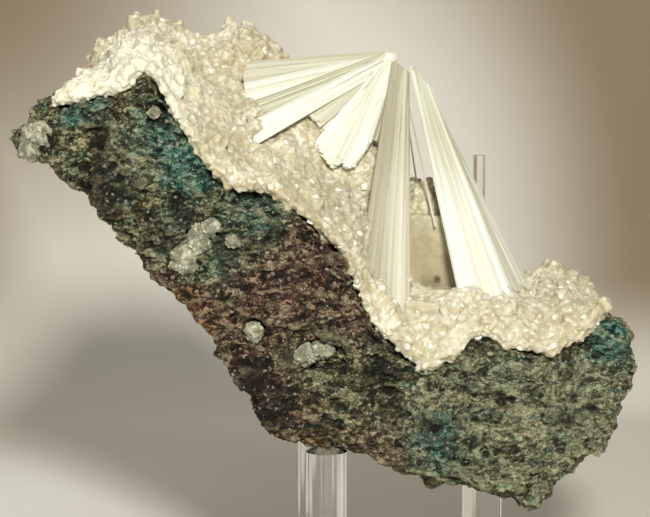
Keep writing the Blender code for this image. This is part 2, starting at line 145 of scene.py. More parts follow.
class Finish:
    # a material with short names for the nodes that are wired up by hand
    def __init__(self, name):
        self.material = bpy.data.materials.new(name)
        self.material.use_nodes = True
        self.tree = self.material.node_tree
        self.shader = self.tree.nodes["Principled BSDF"]
        self.place = self.add("ShaderNodeTexCoord").outputs["Object"]

    def add(self, kind, **values):
        node = self.tree.nodes.new(kind)
        for name, value in values.items():
            setattr(node, name, value)
        return node

    def link(self, source, target):
        self.tree.links.new(source, target)

    def setValues(self, **values):
        for name, value in values.items():
            self.shader.inputs[name.replace("_", " ")].default_value = value

    def noise(self, scale, detail=4, roughness=0.6, place=None, distortion=0.0):
        node = self.add("ShaderNodeTexNoise")
        node.inputs["Scale"].default_value = scale
        node.inputs["Detail"].default_value = detail
        node.inputs["Roughness"].default_value = roughness
        node.inputs["Distortion"].default_value = distortion
        self.link(place or self.place, node.inputs["Vector"])
        return node.outputs["Fac"]

    def attribute(self, name):
        return self.add("ShaderNodeAttribute", attribute_name=name).outputs["Fac"]

    def stretched(self, scale, tilt):
        # the object's place, drawn out along its layers
        node = self.add("ShaderNodeMapping")
        node.inputs["Scale"].default_value = scale
        node.inputs["Rotation"].default_value = (0, math.radians(tilt), 0)
        self.link(self.place, node.inputs["Vector"])
        return node.outputs["Vector"]

    def cells(self, scale, place=None):
        # a random grey for each small cell
        node = self.add("ShaderNodeTexVoronoi")
        node.inputs["Scale"].default_value = scale
        self.link(place or self.place, node.inputs["Vector"])
        parts = self.add("ShaderNodeSeparateColor")
        self.link(node.outputs["Color"], parts.inputs["Color"])
        return parts.outputs["Red"]

    def ramp(self, source, stops):
        node = self.add("ShaderNodeValToRGB")
        band = node.color_ramp
        while len(band.elements) < len(stops):
            band.elements.new(0.5)
        for element, (position, colour) in zip(band.elements, stops):
            element.position = position
            element.color = (*colour, 1)
        self.link(source, node.inputs["Fac"])
        return node.outputs["Color"]

    def level(self, source, low, high, outLow=0.0, outHigh=1.0):
        node = self.add("ShaderNodeMapRange", interpolation_type="SMOOTHSTEP")
        node.inputs["From Min"].default_value = low
        node.inputs["From Max"].default_value = high
        node.inputs["To Min"].default_value = outLow
        node.inputs["To Max"].default_value = outHigh
        self.link(source, node.inputs["Value"])
        return node.outputs["Result"]

    def mix(self, share, one, two):
        node = self.add("ShaderNodeMix", data_type="RGBA")
        for socket, value in ((node.inputs["Factor"], share), (node.inputs["A"], one),
                              (node.inputs["B"], two)):
            self.feed(socket, value)
        return node.outputs["Result"]

    def maths(self, operation, one, two=0.0):
        node = self.add("ShaderNodeMath", operation=operation)
        self.feed(node.inputs[0], one)
        self.feed(node.inputs[1], two)
        return node.outputs["Value"]

    def feed(self, socket, value):
        if isinstance(value, bpy.types.NodeSocket):
            self.link(value, socket)
        elif isinstance(value, tuple):
            socket.default_value = (*value, 1)
        else:
            socket.default_value = value

    def near(self, centre, radius, softness=0.5):
        # 1 round a point of the object, easing to 0 at the radius
        distance = self.add("ShaderNodeVectorMath", operation="DISTANCE")
        self.link(self.place, distance.inputs[0])
        distance.inputs[1].default_value = [c * mm for c in centre]
        return self.level(distance.outputs["Value"], radius * mm * (1 - softness), radius * mm, 1, 0)

    def colour(self, source):
        self.link(source, self.shader.inputs["Base Color"])

    def bump(self, height, distance, strength=1.0):
        node = self.add("ShaderNodeBump")
        node.inputs["Distance"].default_value = distance
        node.inputs["Strength"].default_value = strength
        self.link(height, node.inputs["Height"])
        self.link(node.outputs["Normal"], self.shader.inputs["Normal"])


basaltLooks = {
    "layerTilt": 14,  # degrees
    "layerStretch": (0.68, 0.95, 1.25),
    # near black of pits, crevices, seams and dark spots, also used as painted shade in the hollows
    "pit": (0.007, 0.007, 0.006),
    "fleck": (0.60, 0.58, 0.45),
    # dark, middle and pale tone of each kind of ground
    "own": ((0.016, 0.018, 0.008), (0.100, 0.102, 0.040), (0.58, 0.55, 0.34)),
    "teal": ((0.007, 0.027, 0.022), (0.046, 0.160, 0.128), (0.30, 0.50, 0.38)),
    "maroon": ((0.022, 0.009, 0.008), (0.118, 0.052, 0.038), (0.55, 0.40, 0.28)),
    "grey": ((0.056, 0.064, 0.038), (0.280, 0.300, 0.175), (0.60, 0.61, 0.40)),
    "rust": ((0.030, 0.013, 0.006), (0.190, 0.090, 0.034), (0.62, 0.44, 0.25)),
    # where the tints lie: centre, radius and strength
    "tealSpots": [((-70, -34, 121), 7, 1.1), ((-64, -34, 121), 6, 0.9), ((-50, -34, 115), 11, 0.9),
                  ((-43, -34, 108), 8, 1.4), ((-30, -34, 98), 13, 0.8), ((-44, -34, 96), 16, 0.6),
                  ((11, -34, 47), 10, 0.9), ((49, -31, 70), 9, 1.1), ((24, -34, 63), 16, 0.55),
                  ((52, -20, 58), 16, 0.6), ((-36, -34, 88), 11, 0.7), ((-58, -34, 104), 9, 0.6)],
    "maroonSpots": [((-15, -34, 88), 13, 1.0), ((-24, -34, 80), 15, 1.0), ((-8, -34, 76), 10, 0.9),
                    ((-40, -34, 72), 13, 1.0), ((-50, -34, 82), 8, 0.9), ((-30, -34, 62), 13, 1.0),
                    ((-20, -34, 52), 12, 0.8), ((-4, -34, 44), 14, 0.8), ((-68, -34, 108), 6, 0.5),
                    ((-22, -34, 97), 8, 0.5)],
    "greySpots": [((36, -34, 52), 26, 1.0), ((14, -34, 48), 20, 0.95), ((-56, -34, 112), 11, 0.6),
                  ((-33, -34, 84), 9, 0.6), ((42, -34, 68), 12, 0.7), ((-70, -34, 112), 8, 0.5)],
    "rustSpots": [((-47.5, -30, 82.4), 4, 1.0), ((-43.5, -30, 78.4), 6, 1.3), ((-39.9, -30, 74.5), 6, 1.3),
                  ((-36.1, -30, 70.5), 5, 1.0), ((-31, -30, 56), 5, 0.8), ((-25, -30, 49.9), 6, 1.0),
                  ((-17.3, -30, 46), 6, 0.9)],
    "gloomSpots": [((-62, -34, 101), 11, 0.8), ((-48, -34, 92), 11, 0.6), ((-30, -34, 56), 16, 0.8),
                   ((-2, -34, 62), 7, 0.9), ((-16, -34, 70), 9, 0.6), ((-14, -34, 46), 12, 0.6)],
}


def makeBasaltFinish():
    looks = basaltLooks
    finish = Finish("basaltRock")
    layers = finish.stretched(looks["layerStretch"], looks["layerTilt"])
    broad = finish.noise(70, 5, 0.6)
    middle = finish.noise(260, 7, 0.75, place=layers, distortion=0.4)
    fine = finish.noise(950, 6, 0.85, place=layers)
    mixed = finish.maths("MULTIPLY", finish.cells(2500), 0.16)
    for source, share in ((finish.cells(1050, place=layers), 0.17), (fine, 0.43), (middle, 0.26)):
        mixed = finish.maths("ADD", mixed, finish.maths("MULTIPLY", source, share))

    def zone(places, scale, low, high):
        total = None
        for centre, radius, strength in places:
            spot = finish.maths("MULTIPLY", finish.near(centre, radius * 1.7, 0.95), strength)
            total = spot if total is None else finish.maths("MAXIMUM", total, spot)
        ragged = finish.noise(scale, 6, 0.8, place=layers, distortion=0.3)
        return finish.level(finish.maths("MULTIPLY", total, ragged), low, high)

    def ground(name):
        dark, even, pale = looks[name]
        return finish.ramp(mixed, [(0.40, dark), (0.525, even), (0.65, pale)])

    teal, maroon = ground("teal"), ground("maroon")
    tinted = finish.mix(zone(looks["greySpots"], 240, 0.16, 0.46), ground("own"), ground("grey"))
    # small tints all over, then the broad ones
    mottled = finish.noise(330, 5, 0.75, place=layers, distortion=0.5)
    tinted = finish.mix(finish.level(mottled, 0.54, 0.62, 0.0, 0.6), tinted, teal)
    tinted = finish.mix(finish.level(mottled, 0.45, 0.37, 0.0, 0.6), tinted, maroon)
    tinted = finish.mix(zone(looks["tealSpots"], 260, 0.20, 0.52), tinted, teal)
    tinted = finish.mix(zone(looks["maroonSpots"], 220, 0.20, 0.50), tinted, maroon)
    tinted = finish.mix(zone(looks["rustSpots"], 200, 0.20, 0.45), tinted, ground("rust"))
    depth = finish.attribute("depth")
    # painted light and shade by depth: points that stand out are drawn paler as if lit, and points sunk
    # below the smoothed shape are drawn dark as shade in the hollows
    ridgeLit = finish.mix(finish.level(depth, 0.08, 0.60, 0.0, 0.40), tinted, looks["own"][2])
    hollowed = finish.mix(finish.level(depth, -0.08, -0.55, 0.0, 0.88), ridgeLit, looks["pit"])
    clusters = finish.noise(300, 6, 0.8, place=layers, distortion=0.6)
    clusters = finish.maths("MULTIPLY", finish.level(clusters, 0.56, 0.68), finish.level(fine, 0.42, 0.60))
    grainy = finish.mix(finish.maths("MULTIPLY", clusters, 0.75), hollowed, looks["own"][2])
    gloom = finish.maths("MULTIPLY", zone(looks["gloomSpots"], 230, 0.20, 0.42), 0.75)
    gloomy = finish.mix(gloom, grainy, looks["pit"])
    crevices = finish.noise(210, 6, 0.7, place=layers, distortion=1.2)
    gloomy = finish.mix(finish.level(crevices, 0.40, 0.31, 0.0, 0.92), gloomy, looks["pit"])
    shaded = finish.mix(finish.level(broad, 0.48, 0.34, 0.0, 0.6), gloomy, looks["pit"])
    seam = finish.noise(95, 5, 0.65, place=layers, distortion=0.8)
    seam = finish.maths("ABSOLUTE", finish.maths("SUBTRACT", seam, 0.5))
    seam = finish.maths("MULTIPLY", finish.level(seam, 0.022, 0.004), finish.level(broad, 0.45, 0.6))
    shaded = finish.mix(finish.maths("MULTIPLY", seam, 0.9), shaded, looks["pit"])
    bright = finish.cells(1700)
    finish.colour(finish.mix(finish.level(bright, 0.955, 0.99, 0.0, 0.6), shaded, looks["fleck"]))
    finish.link(finish.level(bright, 0.80, 1.0, 0.85, 0.30), finish.shader.inputs["Roughness"])
    finish.shader.inputs["Specular IOR Level"].default_value = 0.25
    finish.bump(finish.maths("ADD", middle, finish.maths("MULTIPLY", mixed, 0.9)), 0.0019, 1.0)
    return finish.material


druseLooks = {
    "cream": (0.520, 0.490, 0.350),
    "white": (0.720, 0.710, 0.595),
    "honey": (0.455, 0.405, 0.265),
    # painted shade for the hollow behind the pillar, partly the darker tone of its crystals
    "shadow": (0.47, 0.42, 0.26),
    "dull": (0.40, 0.36, 0.245),
    # dark brown of the crust's stains, also used for two painted shade spots
    "stainAndShade": (0.11, 0.075, 0.035),
    "pale": (0.80, 0.795, 0.675),
    "paleEnd": ((-62, -20, 128), 31),
    "hollow": ((11, -2, 84), 19),
    # centre, radius and strength
    "dullSpots": [((-14, -26, 98), 20, 0.55), ((-38, -22, 110), 16, 0.45), ((36, -26, 76), 15, 0.3)],
    # dark stains of the crust, except the two broad spots round (10.5, -11, 78.5) and (14.6, -13, 84), which
    # are painted shade at the foot of the hollow and in the right bundle's shadow
    "stainAndShadeSpots": [((-32.6, -10, 131.5), 1.3, 0.8), ((-27, -22, 109.6), 1.1, 0.8),
                   ((35, -30, 77), 2.0, 0.5), ((37.3, -31, 74.8), 1.8, 0.6), ((-33, -14, 117), 3.2, 0.35),
                   ((11.3, -11.5, 80.2), 1.3, 0.95), ((10.5, -11, 78.5), 5.0, 0.4),
                   ((14.6, -13, 84), 4.5, 0.3)],
}


def makeDruseFinish():
    # glassy cream crystals grown together, each with its own tint
    looks = druseLooks
    finish = Finish("creamDruse")
    tint = finish.maths("ADD", finish.maths("MULTIPLY", finish.cells(900), 0.5),
                        finish.maths("MULTIPLY", finish.noise(420, 4, 0.6), 0.5))
    own = finish.ramp(tint, [(0.25, looks["honey"]), (0.5, looks["cream"]), (0.8, looks["white"])])
    cloudy = finish.noise(60, 5, 0.65)
    shown = finish.mix(finish.level(cloudy, 0.48, 0.66, 0.0, 0.5), own, looks["white"])
    shown = finish.mix(finish.level(cloudy, 0.50, 0.36, 0.0, 0.5), shown, looks["honey"])
    paleEnd = finish.maths("MULTIPLY", finish.near(*looks["paleEnd"], 0.8), 0.85)
    shown = finish.mix(paleEnd, shown, looks["pale"])
    # painted shade in the hollow behind the pillar, partly the darker tone of its crystals
    hollow = finish.maths("MULTIPLY", finish.near(*looks["hollow"], 0.6), 0.8)
    shown = finish.mix(hollow, shown, looks["shadow"])
    # duller patches, then the dark stains and the two painted shade spots
    for tone in ("dull", "stainAndShade"):
        for centre, radius, strength in looks[tone + "Spots"]:
            spot = finish.maths("MULTIPLY", finish.near(centre, radius, 0.8), strength)
            shown = finish.mix(spot, shown, looks[tone])
    finish.colour(shown)
    finish.link(finish.level(finish.cells(700), 0.6, 0.95, 0.45, 0.18), finish.shader.inputs["Roughness"])
    finish.setValues(IOR=1.5, Subsurface_Weight=0.65, Subsurface_Scale=0.0013,
                     Subsurface_Radius=(1.0, 0.9, 0.65))
    finish.shader.inputs["Specular IOR Level"].default_value = 0.6
    finish.bump(finish.noise(1500, 3), 0.0003, 0.5)
    return finish.material


def makeGlintFinish():
    # the few clear crystals that catch the light; their whiter colour is partly a painted highlight
    finish = Finish("clearGlint")
    finish.colour(finish.ramp(finish.noise(300, 3), [(0.3, (0.66, 0.64, 0.50)), (0.7, (0.90, 0.89, 0.82))]))
    finish.setValues(Roughness=0.12, IOR=1.55, Subsurface_Weight=0.15, Subsurface_Scale=0.001)
    finish.shader.inputs["Specular IOR Level"].default_value = 0.9
    return finish.material


# places where the blades are drawn darker and less white: centre, radius and strength
silkLooks = {
    "dullSpots": [((1.3, 1.5, 129.5), 42, 0.12), ((13, -6, 112), 19, 0.22)],
}


def makeSilkFinish(name, pale, shade, clear, rough):
    # fine lines along each blade, read from the blade's own map
    finish = Finish(name)
    lines = finish.add("ShaderNodeUVMap", uv_map="along").outputs["UV"]
    stretch = finish.add("ShaderNodeMapping")
    stretch.inputs["Scale"].default_value = (9, 0.8, 1)
    finish.link(lines, stretch.inputs["Vector"])
    streaks = finish.noise(1.0, 5, 0.7, place=stretch.outputs["Vector"])
    soft = finish.noise(260, 3, 0.5)
    tint = finish.attribute("tint")
    share = finish.maths("ADD", finish.maths("MULTIPLY", streaks, 0.6), finish.maths("MULTIPLY", tint, 0.55))
    for centre, radius, strength in silkLooks["dullSpots"]:
        spot = finish.maths("MULTIPLY", finish.near(centre, radius, 0.9), strength)
        share = finish.maths("SUBTRACT", share, spot)
    finish.colour(finish.ramp(share, [(0.30, shade), (0.90, pale)]))
    finish.link(finish.level(soft, 0.3, 0.7, rough, rough + 0.18), finish.shader.inputs["Roughness"])
    finish.setValues(IOR=1.52, Transmission_Weight=clear, Subsurface_Weight=0.15, Subsurface_Scale=0.0015)
    finish.bump(streaks, 0.0003, 0.6)
    return finish.material


def makePatchFinish():
    finish = Finish("patchZeolite")
    grain = finish.noise(500, 6, 0.7)
    pale = finish.ramp(grain, [(0.30, (0.20, 0.20, 0.14)), (0.5, (0.46, 0.45, 0.34)),
                               (0.72, (0.80, 0.79, 0.68))])
    stained = finish.level(finish.noise(330, 6, 0.8, distortion=0.5), 0.58, 0.48)
    finish.colour(finish.mix(finish.maths("MULTIPLY", stained, 0.8), pale, (0.13, 0.14, 0.09)))
    finish.setValues(Roughness=0.4, Subsurface_Weight=0.1, Subsurface_Scale=0.002)
    finish.bump(grain, 0.0008, 0.9)
    return finish.material


def makePrismFinish():
    # a faintly milky glass for the lone prism behind the spray
    finish = Finish("palePrism")
    finish.colour(finish.ramp(finish.noise(300, 3), [(0.3, (0.90, 0.87, 0.80)), (0.7, (0.97, 0.95, 0.90))]))
    finish.setValues(Roughness=0.30, IOR=1.3, Transmission_Weight=0.85)
    return finish.material


def makeAcrylicFinish():
    finish = Finish("clearAcrylic")
    haze = finish.noise(120, 3, 0.5)
    finish.link(finish.level(haze, 0.3, 0.7, 0.02, 0.09), finish.shader.inputs["Roughness"])
    finish.colour(finish.ramp(haze, [(0.3, (0.93, 0.94, 0.94)), (0.7, (0.98, 0.985, 0.98))]))
    finish.setValues(IOR=1.49, Transmission_Weight=1.0)
    return finish.material


basaltRock = makeBasaltFinish()
creamDruse = makeDruseFinish()
clearGlint = makeGlintFinish()
whiteSilk = makeSilkFinish("whiteSilk", (0.88, 0.87, 0.79), (0.50, 0.465, 0.32), 0.03, 0.35)
pearlSilk = makeSilkFinish("pearlSilk", (0.78, 0.74, 0.60), (0.43, 0.39, 0.28), 0.12, 0.28)
patchZeolite = makePatchFinish()
palePrism = makePrismFinish()
clearAcrylic = makeAcrylicFinish()
print("materials made")


# Basalt

rockShape = {
    "voxel": 0.705 * mm,
    "smoothing": 4,
    "depthRounds": 24,
    "strataTilt": 14,  # degrees
    "strataStretch": (2.6, 1.5, 1),
    "farCorner": (49 * mm, -24 * mm, 66 * mm),
    "farDrop": 6 * mm,
    "farReach": 7 * mm,
    # relief drawn out along the layers, then even relief: grain, height, middle, texture
    "layered": [
        ("strata", 6.0, 1.5, 0.60, {"musgrave_type": "RIDGED_MULTIFRACTAL", "noise_intensity": 0.6,
                                    "octaves": 4}),
        ("ledges", 4.6, 2.2, 0.35, {"noise_depth": 3, "noise_basis": "VORONOI_F2_F1"}),
        ("pits", 3.0, -2.2, 0.42, {"noise_depth": 3, "noise_basis": "VORONOI_F1"}),
    ],
    "even": [
        ("lumps", 3.4, 2.2, 0.50, {"noise_depth": 4}),
        ("grit", 1.1, 1.2, 0.50, {"noise_depth": 2}),
    ],
}


def lowerFarCorner(rock):
    # the far corner of the right end, which the photo does not show over the near edge
    right, back, top = rockShape["farCorner"]
    pickOnly(rock)
    bpy.ops.object.mode_set(mode="EDIT")
    bpy.ops.mesh.select_mode(type="VERT")
    bpy.ops.mesh.select_all(action="DESELECT")
    bpy.ops.object.mode_set(mode="OBJECT")
    for vert in rock.data.vertices:
        vert.select = vert.co.x > right and vert.co.y > back and vert.co.z > top
    bpy.ops.object.mode_set(mode="EDIT")
    bpy.ops.transform.translate(value=(0, 0, -rockShape["farDrop"]), use_proportional_edit=True,
                                proportional_edit_falloff="SMOOTH", proportional_size=rockShape["farReach"])
    bpy.ops.object.mode_set(mode="OBJECT")


def makeRock():
    rock = looseCopy("basalt_matrix", "basaltPiece")
    applyStep(rock, "REMESH", mode="VOXEL", voxel_size=rockShape["voxel"])
    applyStep(rock, "SMOOTH", factor=0.5, iterations=rockShape["smoothing"])
    lowerFarCorner(rock)
    deselectAll()
    bpy.ops.object.empty_add(rotation=(0, math.radians(rockShape["strataTilt"]), 0))
    guide = bpy.context.active_object
    guide.scale = rockShape["strataStretch"]
    bpy.context.view_layer.update()
    for name, grain, height, middle, values in rockShape["layered"]:
        kind = "MUSGRAVE" if name == "strata" else "CLOUDS"
        applyStep(rock, "DISPLACE", texture=reliefTexture(name, kind, grain * mm, **values),
                  texture_coords="OBJECT", texture_coords_object=guide, strength=height * mm,
                  mid_level=middle)
    bpy.data.objects.remove(guide)
    for name, grain, height, middle, values in rockShape["even"]:
        raiseRelief(rock, reliefTexture(name, "CLOUDS", grain * mm, **values), height * mm, middle)
    storeDepth(rock, rockShape["depthRounds"])
    rock.data.materials.append(basaltRock)
    setPiece(rock, "basalt", "basalt_matrix")
    return rock


rock = makeRock()
print("basalt done", len(rock.data.polygons))


# Crystal lining

druseShape = {
    "voxel": 0.8 * mm,
    "smoothing": 5,
    "lobes": (5.5 * mm, 2.6 * mm, 0.55),  # grain, height and middle
    "drop": 0.5 * mm,
    # kinds of blunt crystal, a millimetre across: name, sides, height, inset and lift
    "kinds": [("squareCrystal", 4, 1.15, 0.14, 0.10), ("flatCrystal", 4, 0.75, 0.10, 0.16),
              ("longCrystal", 6, 1.45, 0.16, 0.22)],
    "kindRadius": 0.7 * mm,
    "kindSquash": (1.0, 0.6, 1.0),
    "kindSunk": 0.12,  # how far its middle lies below the skin, as a share of its height
    "forwardShare": 0.8,  # how much a face that looks forwards counts beside one that looks up
    "openFrom": 0.12,  # a face that looks up or forwards less than this carries no crystals
    "lean": 0.5,  # radians
    "least": (0.8, 0.75, 0.8),  # along each axis, as shares of a growth's smallest size
    "most": (1.0, 1.05, 1.0),  # and of its largest
    "fusedVoxel": 0.37 * mm,
    "fusedShare": 0.29,
    # mounds of crust close behind the spray: centre and radii in mm
    "mounds": [((-21.5, 0, 110), (12, 8.5, 10)), ((-7, 0.5, 103), (9, 8, 8.5)), ((9, 0, 93.5), (10, 8, 8))],
    # spacing in mm, sizes, places left clear and seed of each growth of crystals
    "small": (0.80, (0.65, 1.15), [((11, -6, 83), 11), ((9.8, -28, 76), 4)], 3),
    "large": (2.6, (1.3, 2.2), [((11, -2, 83), 17), ((22, -26, 77), 6), ((2, -27, 80), 8),
                                ((-31, 2, 119), 9), ((-32, -12, 112), 6), ((-14, -8, 107), 10)], 11),
    "glint": (2.9, (0.8, 1.3), [((11, -2, 83), 17), ((-31, 2, 119), 9), ((-14, -8, 107), 10)], 29),
}


def makeSkin():
    # the even mass under the crystals
    parts = [looseCopy("crystal_lining", "druseCrust")]
    for centre, radii in druseShape["mounds"]:
        deselectAll()
        bpy.ops.mesh.primitive_uv_sphere_add(segments=24, ring_count=12, radius=mm,
                                             location=[c * mm for c in centre])
        bpy.ops.object.mode_set(mode="EDIT")
        bpy.ops.transform.resize(value=radii)
        bpy.ops.object.mode_set(mode="OBJECT")
        parts.append(bpy.context.active_object)
    skin = joinAll(parts, "druseCrust")
    applyStep(skin, "REMESH", mode="VOXEL", voxel_size=druseShape["voxel"])
    applyStep(skin, "SMOOTH", factor=0.5, iterations=druseShape["smoothing"])
    grain, height, middle = druseShape["lobes"]
    raiseRelief(skin, reliefTexture("crustLobes", "CLOUDS", grain, noise_depth=2), height, middle)
    pickOnly(skin)
    bpy.ops.transform.translate(value=(0, 0, -druseShape["drop"]))
    bpy.ops.object.transform_apply(location=True, rotation=True, scale=True)
    return skin


def makeCrystalKinds():
    # the blunt crystals, standing on the origin
    kinds = []
    for name, sides, tall, inset, lift in druseShape["kinds"]:
        deselectAll()
        bpy.ops.mesh.primitive_cylinder_add(vertices=sides, radius=druseShape["kindRadius"], depth=tall * mm,
                                            location=(0, 0, -tall * mm * druseShape["kindSunk"]))
        kind = bpy.context.active_object
        kind.name = name
        bpy.ops.object.mode_set(mode="EDIT")
        bpy.ops.mesh.select_mode(type="FACE")
        bpy.ops.mesh.select_all(action="DESELECT")
        bpy.ops.object.mode_set(mode="OBJECT")
        for face in kind.data.polygons:
            face.select = face.normal.z > 0.9
        bpy.ops.object.mode_set(mode="EDIT")
        bpy.ops.mesh.inset(thickness=inset * mm, depth=lift * mm)
        bpy.ops.transform.resize(value=druseShape["kindSquash"])
        bpy.ops.object.mode_set(mode="OBJECT")
        bpy.ops.object.transform_apply(location=True, rotation=True, scale=True)
        bpy.ops.object.shade_flat()
        kinds.append(kind)
    shelf = bpy.data.collections.new("crystalKinds")
    for kind in kinds:
        for holder in list(kind.users_collection):
            holder.objects.unlink(kind)
        shelf.objects.link(kind)
    return shelf


def scatter(skin, shelf, name, growth):
    # crystals set over the open side of the skin, made real
    spacing, sizes, clear, seed = growth
    spacing = spacing * mm
    carrier = bpy.data.objects.new(name, skin.data.copy())
    bpy.context.scene.collection.objects.link(carrier)
    tree = bpy.data.node_groups.new(name, "GeometryNodeTree")
    tree.interface.new_socket("Geometry", in_out="INPUT", socket_type="NodeSocketGeometry")
    tree.interface.new_socket("Geometry", in_out="OUTPUT", socket_type="NodeSocketGeometry")

    def add(kind, **values):
        node = tree.nodes.new(kind)
        for field, value in values.items():
            setattr(node, field, value)
        return node

    source, target = add("NodeGroupInput"), add("NodeGroupOutput")
    normal, parts = add("GeometryNodeInputNormal"), add("ShaderNodeSeparateXYZ")
    tree.links.new(normal.outputs["Normal"], parts.inputs[0])
    forward = add("ShaderNodeMath", operation="MULTIPLY")
    forward.inputs[1].default_value = -druseShape["forwardShare"]
    tree.links.new(parts.outputs["Y"], forward.inputs[0])
    openness = add("ShaderNodeMath", operation="MAXIMUM")
    tree.links.new(parts.outputs["Z"], openness.inputs[0])
    tree.links.new(forward.outputs[0], openness.inputs[1])
    isOpen = add("FunctionNodeCompare", data_type="FLOAT", operation="GREATER_THAN")
    isOpen.inputs["B"].default_value = druseShape["openFrom"]
    tree.links.new(openness.outputs[0], isOpen.inputs["A"])
    chosen = isOpen.outputs["Result"]
    position = add("GeometryNodeInputPosition")
    for centre, radius in clear:
        distance = add("ShaderNodeVectorMath", operation="DISTANCE")
        distance.inputs[1].default_value = [c * mm for c in centre]
        tree.links.new(position.outputs["Position"], distance.inputs[0])
        beyond = add("FunctionNodeCompare", data_type="FLOAT", operation="GREATER_THAN")
        beyond.inputs["B"].default_value = radius * mm
        tree.links.new(distance.outputs["Value"], beyond.inputs["A"])
        both = add("FunctionNodeBooleanMath", operation="AND")
        tree.links.new(chosen, both.inputs[0])
        tree.links.new(beyond.outputs["Result"], both.inputs[1])
        chosen = both.outputs[0]

    points = add("GeometryNodeDistributePointsOnFaces", distribute_method="POISSON")
    points.inputs["Distance Min"].default_value = spacing
    points.inputs["Density Max"].default_value = 1 / (spacing * spacing)
    points.inputs["Seed"].default_value = seed
    tree.links.new(source.outputs[0], points.inputs["Mesh"])
    tree.links.new(chosen, points.inputs["Selection"])

    lean = add("FunctionNodeRandomValue", data_type="FLOAT_VECTOR")
    lean.inputs[0].default_value = (-druseShape["lean"], -druseShape["lean"], -3.14)
    lean.inputs[1].default_value = (druseShape["lean"], druseShape["lean"], 3.14)
    lean.inputs["Seed"].default_value = seed + 1
    turn = add("FunctionNodeRotateRotation", rotation_space="LOCAL")
    tree.links.new(points.outputs["Rotation"], turn.inputs[0])
    tree.links.new(lean.outputs["Value"], turn.inputs[1])
    bulk = add("FunctionNodeRandomValue", data_type="FLOAT_VECTOR")
    bulk.inputs[0].default_value = [sizes[0] * s for s in druseShape["least"]]
    bulk.inputs[1].default_value = [sizes[1] * s for s in druseShape["most"]]
    bulk.inputs["Seed"].default_value = seed + 2

    kinds = add("GeometryNodeCollectionInfo")
    kinds.inputs["Collection"].default_value = shelf
    kinds.inputs["Separate Children"].default_value = True
    place = add("GeometryNodeInstanceOnPoints")
    place.inputs["Pick Instance"].default_value = True
    tree.links.new(points.outputs["Points"], place.inputs["Points"])
    tree.links.new(kinds.outputs[0], place.inputs["Instance"])
    tree.links.new(turn.outputs[0], place.inputs["Rotation"])
    tree.links.new(bulk.outputs["Value"], place.inputs["Scale"])
    real = add("GeometryNodeRealizeInstances")
    tree.links.new(place.outputs["Instances"], real.inputs["Geometry"])
    tree.links.new(real.outputs["Geometry"], target.inputs[0])
    applyStep(carrier, "NODES", node_group=tree)
    carrier.data.materials.clear()
    print(name, len(carrier.data.polygons))
    return carrier


def makeCrust():
    # small and large crystals grown into the skin as one mass, and a few clear ones on it
    skin, shelf = makeSkin(), makeCrystalKinds()
    small = scatter(skin, shelf, "smallCrystals", druseShape["small"])
    large = scatter(skin, shelf, "largeCrystals", druseShape["large"])
    glints = scatter(skin, shelf, "glintCrystals", druseShape["glint"])
    crust = joinAll([skin, small, large], "druseCrust")
    applyStep(crust, "REMESH", mode="VOXEL", voxel_size=druseShape["fusedVoxel"])
    applyStep(crust, "DECIMATE", ratio=druseShape["fusedShare"])
    crust.data.validate()
    print("druseCrust", len(crust.data.polygons))
    for piece, finish in ((crust, creamDruse), (glints, clearGlint)):
        piece.data.materials.clear()
        piece.data.materials.append(finish)
        setPiece(piece, "druse", "crystal_lining")
    for kind in list(shelf.objects):
        bpy.data.objects.remove(kind)
    bpy.data.collections.remove(shelf)


makeCrust()

# broad flat-faced crystals on the shaded wall behind the pillar: centre, size and turn, mm
troughShape = {
    "faces": [
        ((11.0, -7.5, 85.5), (18.0, 7.0, 18.0), 0.40),
        ((10.4, -16.0, 76.0), (13.0, 6.0, 6.0), 0.05),
        ((9.8, -26.5, 75.2), (12.0, 5.0, 5.0), 0.16),
    ],
    "bevel": 0.5 * mm,
    "relief": (6 * mm, 0.8 * mm),  # grain and height
}


def makeTroughBlocks():
    blocks = []
    for centre, size, turn in troughShape["faces"]:
        deselectAll()
        bpy.ops.mesh.primitive_cube_add(size=1, location=[c * mm for c in centre],
                                        scale=[s * mm for s in size])
        block = bpy.context.active_object
        bpy.ops.object.mode_set(mode="EDIT")
        bpy.ops.mesh.select_all(action="SELECT")
        bpy.ops.transform.rotate(value=turn, orient_axis="Z", center_override=[c * mm for c in centre])
        bpy.ops.mesh.subdivide(number_cuts=3)
        bpy.ops.mesh.bevel(offset=troughShape["bevel"], segments=1)
        bpy.ops.object.mode_set(mode="OBJECT")
        blocks.append(block)
    joined = joinAll(blocks, "troughBlocks")
    bpy.ops.object.transform_apply(location=True, rotation=True, scale=True)
    grain, height = troughShape["relief"]
    raiseRelief(joined, reliefTexture("blockFaces", "CLOUDS", grain, noise_depth=1), height)
    joined.data.materials.append(creamDruse)
    setPiece(joined, "druse", "crystal_lining")


makeTroughBlocks()
print("crystal lining done")


# Spray of blades. Each sheet is a run of fine blades from a tip to a line of end points:
# ends, number of blades, width at the end, raggedness, first and last tone. Millimetres.

